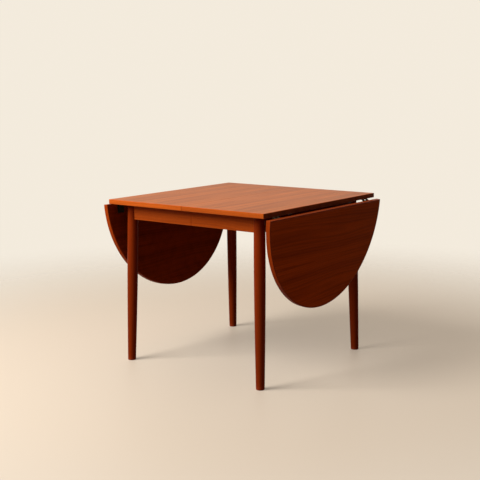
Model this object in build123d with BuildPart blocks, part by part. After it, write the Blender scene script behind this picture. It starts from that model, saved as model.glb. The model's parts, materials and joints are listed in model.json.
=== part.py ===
from build123d import *
from dataclasses import dataclass
from math import cos, radians, sin, tan
import os

# A drop leaf table whose two halves pull apart along X, with a half-round leaf on each outer side.
# Millimetres, +Z up, feet on Z = 0, origin on the floor under the centre, front towards -Y.

# Tops and leaves
height = 735
top_width = 850
top_depth = 850
board = 20
lipping = 6
edge_round = 1.5
seam = 0.6
seam_ease = 1.0
strip_gap = 0.1

# Hinges: the pin lies outside the top's edge and below its underside
pin_out = 5
pin_drop = 8
leaf_gap = 1
hang_angle = 5.2
hinge_inset = 81
hinge_length = 40
plate_width = 36
plate_thickness = 2
knuckle_radius = 4
pin_radius = 2
pin_fit = 0.05
knuckle_gap = 0.3
hinge_screw_row = 11

# Legs, turned, with the belly and the shin measured down from the top's underside
leg_inset = 75
splay_x = 1.15
splay_y = 1.66
leg_head_diameter = 46
leg_belly_diameter = 47.5
leg_shin_diameter = 42.5
leg_foot_diameter = 36
leg_belly_drop = 285
leg_shin_drop = 520
foot_round = 3

# Aprons and corner blocks
apron_setback = 61
apron_height = 70
apron_thickness = 20
coping_gap = 0.1
block_arm = 72
block_nose = 12
block_height = 46
bolt_radius = 4
bolt_drop = 24
bolt_in_leg = 30
nut_height = 6.5
nut_across_flats = 13
nut_flange_radius = 9
nut_flange = 1.5
bolt_tip = 3

# Extension slides: dovetail tongues on the right rails run in grooves in the left rails
travel = 500
rail_to_loper = 82
rail_width = 24
rail_height = 40
rail_end_room = 14
rail_free_room = 34
slide_fit = 0.3
tongue_depth = 8
tongue_root = 10
tongue_tip = 15
tongue_drop = 26
stop_pin_radius = 3
stop_pin_drop = 9
stop_pin_inset = 14
stop_slot_depth = 8
rail_screw_offset = 14.5
rail_screw_end = 30
rail_screws_per_rail = 3
align_pin_radius = 4
align_pin_length = 28
align_pin_spacing = 300

# Lopers: flat bars that slide out over the hanging leaf's upper edge to carry the raised leaf
loper_inset = 193
loper_width = 30
loper_inner = 17
loper_recess = 8
loper_travel = 230
loper_fit = 0.37
grip_grooves = 4
grip_pitch = 6
grip_width = 2
grip_depth = 0.8
stop_head_radius = 4
stop_head_height = 8
stop_rivet_radius = 2.5
stop_inset = 8
guide_width = 56
guide_height = 16
end_stop = 12

# Screws
screw_bite = 12
screw_fit = 0.1
pilot_spare = 1
counterbore_depth = 16

# Values worked out from the above
half_width = top_width / 2
half_depth = top_depth / 2
underside = height - board
leg_x = half_width - leg_inset
leg_y = half_depth - leg_inset
apron_x = half_width - apron_setback
apron_y = half_depth - apron_setback
inner_x = apron_x - apron_thickness
inner_y = apron_y - apron_thickness
pin_x = half_width + pin_out
pin_z = underside - pin_drop
hinge_y = half_depth - hinge_inset
loper_y = half_depth - loper_inset
rail_y = loper_y - rail_to_loper
rail_own = inner_x - rail_end_room
rail_reach = inner_x - rail_free_room
swing = radians(90 + hang_angle)
edge_overlap = pin_out - leaf_gap
loper_gap = pin_drop - edge_overlap * sin(swing) - pin_drop * cos(swing)
loper_thickness = loper_gap - 2 * loper_fit
slot_width = loper_width + 2 * loper_fit
loper_outer = half_width - loper_recess
loper_length = loper_outer - loper_inner
guide_inner = loper_inner + stop_inset + stop_head_radius + loper_travel + loper_fit
tongue_z = underside - tongue_drop
stop_x = rail_reach - stop_pin_inset
stop_z = underside - stop_pin_drop

SIDES = {"left": -1, "right": 1}
ENDS = {"front": -1, "back": 1}
BOTH = (-1, 1)
UNDER = (Align.CENTER, Align.CENTER, Align.MAX)
ABOVE = (Align.CENTER, Align.CENTER, Align.MIN)


@dataclass
class Screw:
    """A wood screw: radii of shank and head, height of the head, and length from its seat."""

    shank: float
    head: float
    head_height: float
    length: float


block_screw = Screw(2.25, 4.5, 3, block_height - counterbore_depth + screw_bite)
rail_screw = Screw(2.25, 4.5, 3, rail_height - counterbore_depth + screw_bite)
guide_screw = Screw(1.75, 3.5, 2.5, guide_height / 2 + screw_bite)
hinge_screw = Screw(1.75, 3.5, 1.75, plate_thickness + screw_bite)


def save(piece, node):
    """Label a finished piece and write it."""
    piece.part.label = node
    export_step(piece.part, f"parts/{node}.step")


def facing_down(x, y, z):
    """A plane that looks down, for screws driven upwards."""
    return Plane(origin=(x, y, z), x_dir=(1, 0, 0), z_dir=(0, 0, -1))


def leaf_plane(side):
    """The underside of a hanging leaf: X along its straight edge, Y away from it, Z to its face."""
    away = Vector(side * cos(swing), 0, -sin(swing))
    out = Vector(side * sin(swing), 0, cos(swing))
    origin = Vector(side * pin_x, 0, pin_z) + out * pin_drop - away * edge_overlap
    return Plane(origin=origin, x_dir=(0, -side, 0), z_dir=out)


def hinge_section(side, y, on_leaf):
    """A plane across a hinge pin: X away from the pin along the board, Y towards the board."""
    along = Vector(side * cos(swing), 0, -sin(swing)) if on_leaf else Vector(-side, 0, 0)
    towards = Vector(side * sin(swing), 0, cos(swing)) if on_leaf else Vector(0, 0, 1)
    return Plane(origin=(side * pin_x, y, pin_z), x_dir=along, z_dir=along.cross(towards))


def bolt_plane(side, end):
    """The middle of a corner block's slanted face, looking out of the block."""
    cut = block_arm - block_nose
    middle = (side * (inner_x - block_nose - cut / 2), end * (inner_y - block_nose - cut / 2))
    return Plane(origin=(*middle, underside - bolt_drop), x_dir=(0, 0, 1), z_dir=(-side, -end, 0))


def block_seats(side):
    """Seats of the screws through the corner blocks."""
    near = block_nose
    far = block_arm - block_nose - 2 * block_screw.shank
    z = underside - block_height + counterbore_depth
    return [
        facing_down(side * (inner_x - a), end * (inner_y - b), z)
        for end in BOTH
        for a, b in ((near, far), (far, near))
    ]


def rail_seats(side):
    """Seats of the screws through the slide rails, all under the rail's own half."""
    pitch = (rail_own - 2 * rail_screw_end) / (rail_screws_per_rail - 1)
    z = underside - rail_height + counterbore_depth
    return [
        facing_down(side * (rail_screw_end + i * pitch), end * (rail_y - side * rail_screw_offset), z)
        for end in BOTH
        for i in range(rail_screws_per_rail)
    ]


def guide_seats(side):
    """Seats of the screws through the loper guides, one on each flank."""
    flank = (slot_width + guide_width) / 4
    quarter = (inner_x - guide_inner) / 4
    middle = (inner_x + guide_inner) / 2
    return [
        facing_down(
            side * (middle + turn * quarter),
            end * (loper_y + turn * flank),
            underside - guide_height / 2,
        )
        for end in BOTH
        for turn in BOTH
    ]


def plate_seats(side, on_leaf):
    """Seats of the countersunk hinge screws, on the outer face of each plate."""
    near = pin_out + plate_width / 3
    far = pin_out + plate_width * 3 / 4
    spots = ((near, 0), (far, -hinge_screw_row), (far, hinge_screw_row))
    seats = []
    for end in BOTH:
        section = hinge_section(side, end * hinge_y, on_leaf)
        for along, across in spots:
            seat = section.from_local_coords(Vector(along, pin_drop - plate_thickness, across))
            seats.append(Plane(origin=seat, x_dir=(0, 1, 0), z_dir=-section.y_dir))
    return seats


def pilot_holes(seats, screw, cover):
    """Blind holes for screws whose seats lie a cover's thickness outside the wood."""
    for seat in seats:
        with Locations(seat.offset(-cover)):
            Hole(screw.shank + screw_fit / 2, depth=screw.length - cover + pilot_spare)


def pan_screws(node, seats, screw):
    """A group of screws with flat-bottomed heads."""
    with BuildPart() as screws:
        with Locations(*seats):
            Cylinder(screw.shank, screw.length, align=UNDER)
            Cylinder(screw.head, screw.head_height, align=ABOVE)
    save(screws, node)


def flat_screws(node, seats, screw):
    """A group of countersunk screws."""
    with BuildPart() as screws:
        with Locations(*seats):
            Cylinder(screw.shank, screw.length, align=UNDER)
            Cone(screw.shank, screw.head, screw.head_height, align=UNDER)
    save(screws, node)


def top_panel(name, side):
    """The veneered half of the top, with blind holes for everything fixed under it."""
    outer = half_width - lipping
    with BuildPart() as panel:
        with BuildSketch(Plane.XY.offset(underside)):
            with Locations((side * (seam / 2 + outer) / 2, 0)):
                Rectangle(outer - seam / 2, top_depth - 2 * lipping)
        extrude(amount=board)
        meeting = panel.faces().sort_by(Axis.X)[-1 if side < 0 else 0]
        chamfer(meeting.edges().filter_by(Axis.Y).sort_by(Axis.Z)[-1], length=seam_ease)
        pilot_holes(block_seats(side), block_screw, block_height - counterbore_depth)
        pilot_holes(rail_seats(side), rail_screw, rail_height - counterbore_depth)
        pilot_holes(guide_seats(side), guide_screw, guide_height / 2)
        pilot_holes(plate_seats(side, False), hinge_screw, plate_thickness)
        fit = screw_fit / 2 if side < 0 else slide_fit
        for y in (-align_pin_spacing, 0, align_pin_spacing):
            mouth = Plane(origin=(side * seam / 2, y, underside + board / 2), z_dir=(-side, 0, 0))
            with Locations(mouth):
                Hole(align_pin_radius + fit, depth=align_pin_length / 2 + pilot_spare)
    save(panel, f"{name}_top_panel")


def top_lipping(name, side):
    """Three solid edge strips round the half top, mitred at the corners."""
    with BuildPart() as strips:
        with BuildSketch(Plane.XY.offset(underside)):
            with Locations((side * (seam / 2 + half_width) / 2, 0)):
                Rectangle(half_width - seam / 2, top_depth)
            with Locations((side * (half_width - lipping) / 2, 0)):
                Rectangle(half_width - lipping, top_depth - 2 * lipping, mode=Mode.SUBTRACT)
        extrude(amount=board)
        long_rims = strips.edges().filter_by(Axis.X).group_by(Axis.Y)
        side_rims = strips.edges().filter_by(Axis.Y).group_by(Axis.X)[-1 if side > 0 else 0]
        fillet(long_rims[0] + long_rims[-1] + side_rims, radius=edge_round)
        ends = strips.faces().filter_by(Axis.X).group_by(Axis.X)[-1 if side < 0 else 0]
        chamfer([face.edges().filter_by(Axis.Y).sort_by(Axis.Z)[-1] for face in ends], length=seam_ease)
        for end in BOTH:
            corner = (side * (half_width - lipping / 2), end * (half_depth - lipping / 2))
            with BuildSketch(Plane.XY.offset(underside)):
                with Locations(corner):
                    Rectangle(3 * lipping, strip_gap, rotation=45 * side * end)
            extrude(amount=board, mode=Mode.SUBTRACT)
    save(strips, f"{name}_top_lipping")


def leg_form(side, end, grow=0):
    """A turned leg, swelling and then tapering, that leans out and is cut level at both ends."""
    up = Vector(-side * tan(radians(splay_x)), -end * tan(radians(splay_y)), 1).normalized()
    across = Vector(0, 1, 0).cross(up).normalized()
    head = Vector(side * leg_x, end * leg_y, underside)
    spare = leg_foot_diameter / 10
    with BuildPart() as form:
        with BuildSketch(Plane(origin=head, x_dir=across, z_dir=across.cross(up))):
            with BuildLine():
                outline = Spline(
                    (leg_head_diameter / 2 + grow, spare),
                    (leg_belly_diameter / 2 + grow, -leg_belly_drop),
                    (leg_shin_diameter / 2 + grow, -leg_shin_drop),
                    (leg_foot_diameter / 2 + grow, -underside - spare),
                )
                Polyline(outline @ 1, (0, -underside - spare), (0, spare), outline @ 0)
            make_face()
        revolve(axis=Axis(head, up))
        split(bisect_by=Plane.XY.offset(underside), keep=Keep.BOTTOM)
        split(bisect_by=Plane.XY, keep=Keep.TOP)
    return form.part


def leg(name, side, end):
    """A leg with its rounded foot and the hole for its hanger bolt."""
    form = leg_form(side, end)
    with BuildPart() as turned:
        add(form)
        fillet(turned.edges().group_by(Axis.Z)[0], radius=foot_round)
        with Locations(bolt_plane(side, end)):
            Hole(bolt_radius + screw_fit / 2, depth=bolt_depth(side, end) + pilot_spare)
    save(turned, f"{name}_leg")


def bolt_depth(side, end):
    """Length of a hanger bolt from the block's slanted face to its end inside the leg."""
    plane = bolt_plane(side, end)
    reach = (Vector(side * leg_x, end * leg_y, plane.origin.Z) - plane.origin).length
    return reach - leg_head_diameter / 2 + bolt_in_leg


def long_apron(name, side, end, coping):
    """Half of the front or back apron, from the seam to the leg that it is coped around."""
    with BuildPart() as apron:
        with BuildSketch(Plane.XY.offset(underside - apron_height)):
            with Locations((side * (seam / 2 + leg_x) / 2, end * (apron_y - apron_thickness / 2))):
                Rectangle(leg_x - seam / 2, apron_thickness)
        extrude(amount=apron_height)
        meeting = apron.faces().sort_by(Axis.X)[-1 if side < 0 else 0]
        outer = meeting.edges().filter_by(Axis.Z).sort_by(Axis.Y)[-1 if end > 0 else 0]
        chamfer(outer, length=seam_ease)
        add(coping, mode=Mode.SUBTRACT)
    save(apron, f"{name}_apron")


def end_apron(name, side, copings):
    """The apron under a hinged side, notched along its upper edge for the two lopers."""
    middle = side * (apron_x - apron_thickness / 2)
    notch = loper_thickness + 2 * loper_fit
    with BuildPart() as apron:
        with BuildSketch(Plane.XY.offset(underside - apron_height)):
            with Locations((middle, 0)):
                Rectangle(apron_thickness, 2 * leg_y)
        extrude(amount=apron_height)
        with BuildSketch(Plane.XY.offset(underside - notch)):
            with Locations((middle, -loper_y), (middle, loper_y)):
                Rectangle(2 * apron_thickness, slot_width)
        extrude(amount=notch, mode=Mode.SUBTRACT)
        for coping in copings:
            add(coping, mode=Mode.SUBTRACT)
    save(apron, f"{name}_end_apron")


def corner_blocks(name, side, copings):
    """Slant-faced blocks that tie the aprons to the legs and carry the hanger bolts."""
    corners = (
        (0, 0),
        (block_arm, 0),
        (block_arm, block_nose),
        (block_nose, block_arm),
        (0, block_arm),
    )
    with BuildPart() as blocks:
        for end in BOTH:
            with BuildSketch(Plane.XY.offset(underside - block_height)):
                with BuildLine():
                    points = [(side * (inner_x - a), end * (inner_y - b)) for a, b in corners]
                    Polyline(*points, close=True)
                make_face()
            extrude(amount=block_height)
            with Locations(bolt_plane(side, end)):
                Hole(bolt_radius + slide_fit, depth=bolt_depth(side, end))
        floor = underside - block_height
        for seat in block_seats(side):
            with Locations(facing_down(seat.origin.X, seat.origin.Y, floor)):
                CounterBoreHole(
                    block_screw.shank + screw_fit,
                    block_screw.head + screw_fit,
                    counterbore_depth,
                    depth=block_height,
                )
        for coping in copings:
            add(coping, mode=Mode.SUBTRACT)
    save(blocks, f"{name}_corner_blocks")


def leg_bolts(name, side):
    """Hanger bolts that draw the legs into the corners."""
    tip = nut_height + nut_flange + bolt_tip
    with BuildPart() as bolts:
        for end in BOTH:
            depth = bolt_depth(side, end)
            with Locations(bolt_plane(side, end).offset(tip)):
                Cylinder(bolt_radius, depth + tip, align=UNDER)
    save(bolts, f"{name}_leg_bolts")


def leg_nuts(name, side):
    """Flanged nuts on the hanger bolts."""
    with BuildPart() as nuts:
        for end in BOTH:
            seat = bolt_plane(side, end)
            with BuildSketch(seat):
                Circle(nut_flange_radius)
            extrude(amount=nut_flange)
            with BuildSketch(seat.offset(nut_flange)):
                RegularPolygon(nut_across_flats / 2, 6, major_radius=False)
            extrude(amount=nut_height)
            with Locations(seat.offset(nut_flange + nut_height)):
                Hole(bolt_radius + screw_fit, depth=nut_flange + nut_height)
    save(nuts, f"{name}_leg_nuts")


def dovetail(end, face, towards, spare):
    """Corners of the dovetail on a rail's face, in Y and Z, with some spare on every side."""
    root = tongue_root / 2 + spare
    tip = tongue_tip / 2 + spare
    bottom = face + towards * (tongue_depth + spare)
    return [
        (end * face, tongue_z - root),
        (end * bottom, tongue_z - tip),
        (end * bottom, tongue_z + tip),
        (end * face, tongue_z + root),
    ]


def rail_blank(side, end):
    """The plain bar of one slide rail, eased where it runs under the other half."""
    start = -rail_own if side < 0 else -rail_reach
    across = end * (rail_y - side * (slide_fit + rail_width) / 2)
    with BuildPart() as blank:
        with BuildSketch(Plane.YZ.offset(start)):
            with Locations((across, underside - rail_height / 2)):
                Rectangle(rail_width, rail_height)
        extrude(amount=rail_own + rail_reach)
        with BuildSketch(Plane.XY.offset(underside - slide_fit)):
            with Locations((-side * (rail_reach - seam) / 2, across)):
                Rectangle(rail_reach + seam, rail_width)
        extrude(amount=slide_fit, mode=Mode.SUBTRACT)
    return blank.part


def rail_screw_holes(side):
    """Counterbored holes up through a half's rails."""
    for seat in rail_seats(side):
        with Locations(facing_down(seat.origin.X, seat.origin.Y, underside - rail_height)):
            CounterBoreHole(
                rail_screw.shank + screw_fit,
                rail_screw.head + screw_fit,
                counterbore_depth,
                depth=rail_height,
            )


def left_slide_rails():
    """Grooved rails, fixed under the left half, each holding a stop pin near its free end."""
    face = rail_y + slide_fit / 2
    blanks = [rail_blank(-1, end) for end in BOTH]
    with BuildPart() as rails:
        add(blanks)
        for end in BOTH:
            with BuildSketch(Plane.YZ.offset(-rail_own)):
                with BuildLine():
                    Polyline(*dovetail(end, face, 1, slide_fit), close=True)
                make_face()
            extrude(amount=rail_own + rail_reach, mode=Mode.SUBTRACT)
            outer = Plane(origin=(stop_x, end * (face + rail_width), stop_z), z_dir=(0, end, 0))
            with Locations(outer):
                Hole(stop_pin_radius + screw_fit / 2, depth=rail_width)
        rail_screw_holes(-1)
    save(rails, "left_slide_rails")


def right_slide_rails():
    """Tongued rails, fixed under the right half, with a slot for the stop pin's travel."""
    face = rail_y - slide_fit / 2
    blanks = [rail_blank(1, end) for end in BOTH]
    with BuildPart() as rails:
        add(blanks)
        for end in BOTH:
            with BuildSketch(Plane.YZ.offset(-rail_reach)):
                with BuildLine():
                    Polyline(*dovetail(end, face, 1, 0), close=True)
                make_face()
            extrude(amount=rail_own + rail_reach)
            slot = Plane(
                origin=(stop_x - travel / 2, end * face, stop_z),
                x_dir=(1, 0, 0),
                z_dir=(0, end, 0),
            )
            with BuildSketch(slot):
                SlotCenterToCenter(travel, 2 * (stop_pin_radius + slide_fit))
            extrude(amount=-stop_slot_depth, mode=Mode.SUBTRACT)
        rail_screw_holes(1)
    save(rails, "right_slide_rails")


def slide_stop_pins():
    """Pins that keep the halves from pulling apart."""
    outer = rail_y + slide_fit / 2 + rail_width
    length = rail_width + slide_fit + stop_slot_depth - 2 * slide_fit
    with BuildPart() as pins:
        for end in BOTH:
            with Locations(Plane(origin=(stop_x, end * outer, stop_z), z_dir=(0, end, 0))):
                Cylinder(stop_pin_radius, length, align=UNDER)
    save(pins, "left_slide_stop_pins")


def alignment_pins():
    """Pins in the left top's meeting edge that find sockets in the right top."""
    with BuildPart() as pins:
        with Locations(*[(0, y, underside + board / 2) for y in (-align_pin_spacing, 0, align_pin_spacing)]):
            Cylinder(align_pin_radius, align_pin_length, rotation=(0, 90, 0))
    save(pins, "left_alignment_pins")


def loper_guides(name, side):
    """Grooved blocks behind the end apron that hold the lopers up against the top."""
    depth = loper_thickness + 2 * loper_fit
    middle = side * (guide_inner + inner_x) / 2
    with BuildPart() as guides:
        for end in BOTH:
            with BuildSketch(Plane.XY.offset(underside - guide_height)):
                with Locations((middle, end * loper_y)):
                    Rectangle(inner_x - guide_inner, guide_width)
            extrude(amount=guide_height)
            with BuildSketch(Plane.XY.offset(underside - depth)):
                with Locations((middle, end * loper_y)):
                    Rectangle(inner_x - guide_inner, slot_width)
            extrude(amount=depth, mode=Mode.SUBTRACT)
        for seat in guide_seats(side):
            with Locations(facing_down(seat.origin.X, seat.origin.Y, underside - guide_height)):
                CounterBoreHole(
                    guide_screw.shank + screw_fit,
                    guide_screw.head + screw_fit,
                    guide_height / 2,
                    depth=guide_height,
                )
    save(guides, f"{name}_loper_guides")


def loper_end_stops(name, side):
    """Small blocks that stop the lopers on their way in."""
    with BuildPart() as stops:
        with BuildSketch(Plane.XY.offset(underside - end_stop)):
            for end in BOTH:
                with Locations((side * (loper_inner - loper_fit - end_stop / 2), end * loper_y)):
                    Rectangle(end_stop, loper_width)
        extrude(amount=end_stop)
    save(stops, f"{name}_loper_end_stops")


def loper(name, side, end):
    """A flat steel bar with finger grooves under its outer end."""
    floor = underside - loper_fit - loper_thickness
    with BuildPart() as bar:
        with BuildSketch(Plane.XY.offset(floor)):
            with Locations((side * (loper_inner + loper_outer) / 2, end * loper_y)):
                Rectangle(loper_length, loper_width)
        extrude(amount=loper_thickness)
        fillet(bar.edges().filter_by(Axis.Z).group_by(Axis.X)[-1 if side > 0 else 0], radius=loper_width / 6)
        with BuildSketch(Plane.XY.offset(floor)):
            for i in range(grip_grooves):
                with Locations((side * (loper_outer - (i + 1) * grip_pitch), end * loper_y)):
                    Rectangle(grip_width, loper_width)
        extrude(amount=grip_depth, mode=Mode.SUBTRACT)
        with Locations(facing_down(side * (loper_inner + stop_inset), end * loper_y, floor)):
            Hole(stop_rivet_radius + screw_fit / 2, depth=loper_thickness)
    save(bar, f"{name}_loper")


def loper_stop(name, side, end):
    """The riveted stud under a loper's inner end that meets the guide when the loper is out."""
    floor = underside - loper_fit - loper_thickness
    with BuildPart() as stud:
        with Locations(facing_down(side * (loper_inner + stop_inset), end * loper_y, floor)):
            Cylinder(stop_head_radius, stop_head_height, align=ABOVE)
            Cylinder(stop_rivet_radius, loper_thickness, align=UNDER)
    save(stud, f"{name}_loper_stop")


def hinge_plates(node, side, on_leaf):
    """One half of both hinges on a side: screwed plates cranked out to their knuckles."""
    quarter = hinge_length / 4
    outer = (quarter - knuckle_gap / 2) / 2
    knuckles = {0: quarter - knuckle_gap / 2}
    if not on_leaf:
        knuckles = {turn * (hinge_length / 2 - outer): outer for turn in BOTH}
    with BuildPart() as plates:
        for end in BOTH:
            with BuildSketch(hinge_section(side, end * hinge_y, on_leaf)):
                with Locations((pin_out + plate_width / 2, pin_drop - plate_thickness / 2)):
                    Rectangle(plate_width, plate_thickness)
            extrude(amount=hinge_length / 2, both=True)
            for shift, half in knuckles.items():
                with BuildSketch(hinge_section(side, end * hinge_y + shift, on_leaf)):
                    Circle(knuckle_radius)
                    with Locations((pin_out + plate_thickness, pin_drop - plate_thickness / 2)):
                        Rectangle(2 * plate_thickness, plate_thickness)
                    make_hull()
                    Circle(pin_radius + pin_fit, mode=Mode.SUBTRACT)
                extrude(amount=half, both=True)
        for seat in plate_seats(side, on_leaf):
            with Locations(seat):
                CounterSinkHole(
                    hinge_screw.shank + screw_fit,
                    hinge_screw.head + screw_fit,
                    depth=plate_thickness,
                    counter_sink_angle=90,
                )
    save(plates, node)


def hinge_pins(name, side):
    """The pins of both hinges on a side."""
    with BuildPart() as pins:
        with Locations(*[(side * pin_x, end * hinge_y, pin_z) for end in BOTH]):
            Cylinder(pin_radius, hinge_length, rotation=(90, 0, 0))
    save(pins, f"{name}_hinge_pins")


def leaf_core():
    """The veneered field of a leaf, inside its lipping, drawn on the leaf's own plane."""
    Circle(half_depth - lipping)
    with Locations((0, lipping)):
        Rectangle(top_depth, half_depth, align=(Align.CENTER, Align.MIN), mode=Mode.INTERSECT)


def leaf_panel(name, side):
    """The veneered half-round leaf, hanging, with blind holes for its hinge screws."""
    with BuildPart() as panel:
        with BuildSketch(leaf_plane(side)):
            leaf_core()
        extrude(amount=board)
        pilot_holes(plate_seats(side, True), hinge_screw, plate_thickness)
    save(panel, f"{name}_leaf_panel")


def leaf_lipping(name, side):
    """A bent strip round the leaf's arc, and a straight one along its hinged edge between the ends."""
    plane = leaf_plane(side)
    inner_radius = half_depth - lipping
    with BuildPart() as strips:
        with BuildSketch(Plane(plane.origin, x_dir=plane.x_dir, z_dir=-plane.y_dir)) as bent:
            with Locations((inner_radius, 0)):
                Rectangle(lipping, board, align=Align.MIN)
            fillet(bent.vertices().group_by(Axis.X)[-1], radius=edge_round)
        revolve(axis=Axis(plane.origin, plane.z_dir), revolution_arc=180)
        with BuildSketch(Plane(plane.origin, x_dir=plane.y_dir, z_dir=plane.x_dir)) as straight:
            Rectangle(lipping, board, align=Align.MIN)
            fillet(straight.vertices().group_by(Axis.X)[0], radius=edge_round)
        extrude(amount=inner_radius - strip_gap, both=True)
    save(strips, f"{name}_leaf_lipping")


def build():
    """Make every piece of both halves and write it."""
    os.makedirs("parts", exist_ok=True)
    for name, side in SIDES.items():
        copings = {end: leg_form(side, end, coping_gap) for end in BOTH}
        top_panel(name, side)
        top_lipping(name, side)
        for where, end in ENDS.items():
            leg(f"{name}_{where}", side, end)
            long_apron(f"{name}_{where}", side, end, copings[end])
            loper(f"{name}_{where}", side, end)
            loper_stop(f"{name}_{where}", side, end)
        end_apron(name, side, copings.values())
        corner_blocks(name, side, copings.values())
        leg_bolts(name, side)
        leg_nuts(name, side)
        loper_guides(name, side)
        loper_end_stops(name, side)
        hinge_plates(f"{name}_hinge_top_plates", side, False)
        hinge_plates(f"{name}_hinge_leaf_plates", side, True)
        hinge_pins(name, side)
        leaf_panel(name, side)
        leaf_lipping(name, side)
        pan_screws(f"{name}_block_screws", block_seats(side), block_screw)
        pan_screws(f"{name}_rail_screws", rail_seats(side), rail_screw)
        pan_screws(f"{name}_guide_screws", guide_seats(side), guide_screw)
        flat_screws(f"{name}_hinge_top_screws", plate_seats(side, False), hinge_screw)
        flat_screws(f"{name}_hinge_leaf_screws", plate_seats(side, True), hinge_screw)
    left_slide_rails()
    right_slide_rails()
    slide_stop_pins()
    alignment_pins()


build()
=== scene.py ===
"""Looks of a teak drop leaf table, laid out as an add-on and run as a script.

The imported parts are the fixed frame. Tops, leaves, edge strips, legs, aprons and screws get finer meshes
here, and every other part keeps its own mesh under a better material.
"""

import json
import math

import bmesh
import bpy
from bpy.props import FloatProperty, FloatVectorProperty, IntProperty, PointerProperty
from mathutils import Matrix, Vector


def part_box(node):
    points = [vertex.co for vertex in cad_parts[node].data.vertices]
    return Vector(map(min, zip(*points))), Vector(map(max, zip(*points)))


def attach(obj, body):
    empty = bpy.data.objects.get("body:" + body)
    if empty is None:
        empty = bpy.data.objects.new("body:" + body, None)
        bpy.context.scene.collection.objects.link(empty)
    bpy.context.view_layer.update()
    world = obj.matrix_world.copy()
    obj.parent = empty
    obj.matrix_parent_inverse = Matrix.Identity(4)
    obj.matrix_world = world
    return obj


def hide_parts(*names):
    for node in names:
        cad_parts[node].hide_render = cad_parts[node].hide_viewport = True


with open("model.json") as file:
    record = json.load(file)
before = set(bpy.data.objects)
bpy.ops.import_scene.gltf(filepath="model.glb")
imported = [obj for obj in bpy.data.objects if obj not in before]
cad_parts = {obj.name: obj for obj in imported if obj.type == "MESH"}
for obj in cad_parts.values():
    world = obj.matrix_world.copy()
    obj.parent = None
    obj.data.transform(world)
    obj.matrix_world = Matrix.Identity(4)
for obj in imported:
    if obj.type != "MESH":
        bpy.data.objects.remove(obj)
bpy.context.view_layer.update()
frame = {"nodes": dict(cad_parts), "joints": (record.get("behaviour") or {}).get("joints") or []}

bl_info = {
    "name": "Drop Leaf Table",
    "version": (1, 0, 0),
    "blender": (4, 5, 0),
    "location": "3D View > Sidebar > Table",
    "description": "Dresses a teak drop leaf table with its finishes, eased edges and fittings",
    "category": "Object",
}

# What the frame gives, in metres and radians

STRIPS_LOW, STRIPS_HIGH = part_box("right_top_lipping")
PANEL_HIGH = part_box("right_top_panel")[1]
STRIP_WIDTH = STRIPS_HIGH.x - PANEL_HIGH.x
BOARD = STRIPS_HIGH.z - STRIPS_LOW.z
JOINTS = {joint["name"]: joint for joint in frame["joints"]}
LEVEL_ANGLE = math.radians(JOINTS["right_leaf_hinge"]["range_deg"][1])

# Sides and directions

SIDES = {"left": -1, "right": 1}
ENDS = {"front": -1, "back": 1}
UP = Vector((0, 0, 1))
DOWN = Vector((0, 0, -1))
ALONG_Y = Vector((0, 1, 0))
QUARTER = math.pi / 2

# Limits: points that are one, levels that are the same, points on a meeting face, and the gap in a mitre

MERGE = 1e-6
SAME = 1e-5
MEETING = 0.001
HAIR = 0.00005
FLAT_ANGLE = math.radians(0.5)
SMOOTH_ANGLE = math.radians(35)


# Properties


def size_setting(name, description, default):
    """A size in metres."""
    return FloatProperty(name=name, description=description, default=default, unit="LENGTH")


def angle_setting(name, description, default):
    """A turn in radians."""
    return FloatProperty(name=name, description=description, default=default, subtype="ANGLE")


def share_setting(name, description, default):
    """A strength from 0 to 1."""
    return FloatProperty(name=name, description=description, default=default, min=0.0, max=1.0)


def colour_setting(name, description, default):
    """A linear colour."""
    return FloatVectorProperty(name=name, description=description, default=default, size=3, subtype="COLOR")


class TableSizes(bpy.types.PropertyGroup):
    """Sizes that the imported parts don't give."""

    edge_round: size_setting("Edge Rounding", "Rounding of tops and leaves", 0.0015)
    seam_ease: size_setting("Seam Easing", "Chamfer where the halves meet", 0.0007)
    seam_dirt: size_setting("Seam Dirt", "Reach of the dirt beside the seam", 0.0016)
    seam_gap: size_setting("Seam Gap", "From the middle to a half's meeting face", 0.00005)
    pin_drop: size_setting("Pin Drop", "Hinge pin below the boards' underside", 0.008)
    edge_overlap: size_setting("Edge Overlap", "Leaf's edge past the hinge pin", 0.004)
    veneer_width: size_setting("Veneer Width", "Width of one sheet of veneer", 0.2125)
    leg_inset: size_setting("Leg Inset", "Leg's middle from the top's edges", 0.075)
    leg_lean_x: angle_setting("Leg Lean X", "How far a leg leans to the side", math.radians(1.15))
    leg_lean_y: angle_setting("Leg Lean Y", "How far a leg leans to the front or back", math.radians(1.66))
    foot_round: size_setting("Foot Rounding", "Rounding under a leg's foot", 0.003)
    apron_ease: size_setting("Apron Easing", "Rounding of the aprons' edges", 0.0012)
    head_gap: size_setting("Head Gap", "Gap round a flat screw head", 0.0002)
    # Painted shade: darkens the outer faces of the top's side strips beside the hanging leaves
    side_shade: share_setting("Side Dirt", "Dirt on the top's edges beside the leaves", 0.80)
    # Painted shade: darkens the undersides of the leaves, which face in under the table
    under_shade: share_setting("Under Dirt", "Dirt on the undersides of the leaves", 0.62)
    arc_steps: IntProperty(name="Arc Steps", description="Steps round a leaf's arc", default=144, min=24)


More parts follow.
